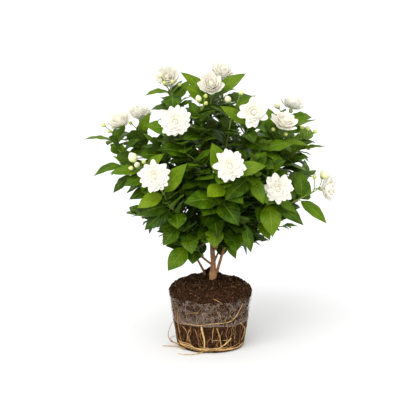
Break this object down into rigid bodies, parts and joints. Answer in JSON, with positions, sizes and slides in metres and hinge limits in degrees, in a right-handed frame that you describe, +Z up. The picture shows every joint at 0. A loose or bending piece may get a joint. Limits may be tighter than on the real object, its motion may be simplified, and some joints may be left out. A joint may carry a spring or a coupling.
{
  "type": "potted arabian jasmine",
  "caption": "Flowering jasmine shrub on its bare root ball in a film sleeve, with glossy leaves in pairs, double white blooms and bud clusters, as a patio plant.",
  "frame": {"origin": "centre of the root ball's flat base, on the surface that it stands on", "axes": "+Z up along the trunk, -Y the front of the plant, +X to its right as seen from the front"},
  "size_m": [0.3742, 0.3309, 0.4288],
  "materials": {
    "leaf": "glossy living leaf, quilted between its veins",
    "petal": "soft matte petal",
    "bark": "rough grey-brown bark",
    "soil": "moist crumbly potting soil",
    "film": "thin cloudy wrapping film",
    "root": "pale fibrous root",
    "bud": "smooth cream bud",
    "calyx": "green calyx and stalk"
  },
  "bodies": {
    "root": {"bloom_back_5": "petal", "bloom_back_6": "petal", "bloom_centre": "petal", "bloom_left_back": "petal", "bloom_left_low": "petal", "bloom_left_top": "petal", "bloom_right_back": "petal", "bloom_right_far": "petal", "bloom_right_low": "petal", "bloom_right_top": "petal", "bloom_top_back": "petal", "bloom_top_centre": "petal", "bloom_top_left": "petal", "bloom_top_right": "petal", "bloom_upper_left": "petal", "film_sleeve": "film", "root_ball": "soil", "roots": "root", "stem_back_1": "leaf", "stem_back_2": "leaf", "stem_back_3": "leaf", "stem_back_4": "leaf", "stem_back_5": "leaf", "stem_back_6": "leaf", "stem_back_7": "leaf", "stem_back_8": "leaf", "stem_back_9": "leaf", "stem_buds_left": "leaf", "stem_buds_right": "leaf", "stem_centre": "leaf", "stem_centre_right": "leaf", "stem_inner_left": "leaf", "stem_inner_right": "leaf", "stem_left_arch": "leaf", "stem_left_back": "leaf", "stem_left_buds": "leaf", "stem_left_low": "leaf", "stem_left_mid": "leaf", "stem_left_top": "leaf", "stem_low_centre": "leaf", "stem_low_leaf": "leaf", "stem_low_left": "leaf", "stem_low_right": "leaf", "stem_right_back": "leaf", "stem_right_buds": "leaf", "stem_right_far": "leaf", "stem_right_fill": "leaf", "stem_right_low": "leaf", "stem_right_mid": "leaf", "stem_right_top": "leaf", "stem_top_back": "leaf", "stem_top_centre": "leaf", "stem_top_left": "leaf", "stem_top_right": "leaf", "stem_upper_left": "leaf", "wood": "bark", "wood_left": "bark"}
  },
  "joints": []
}
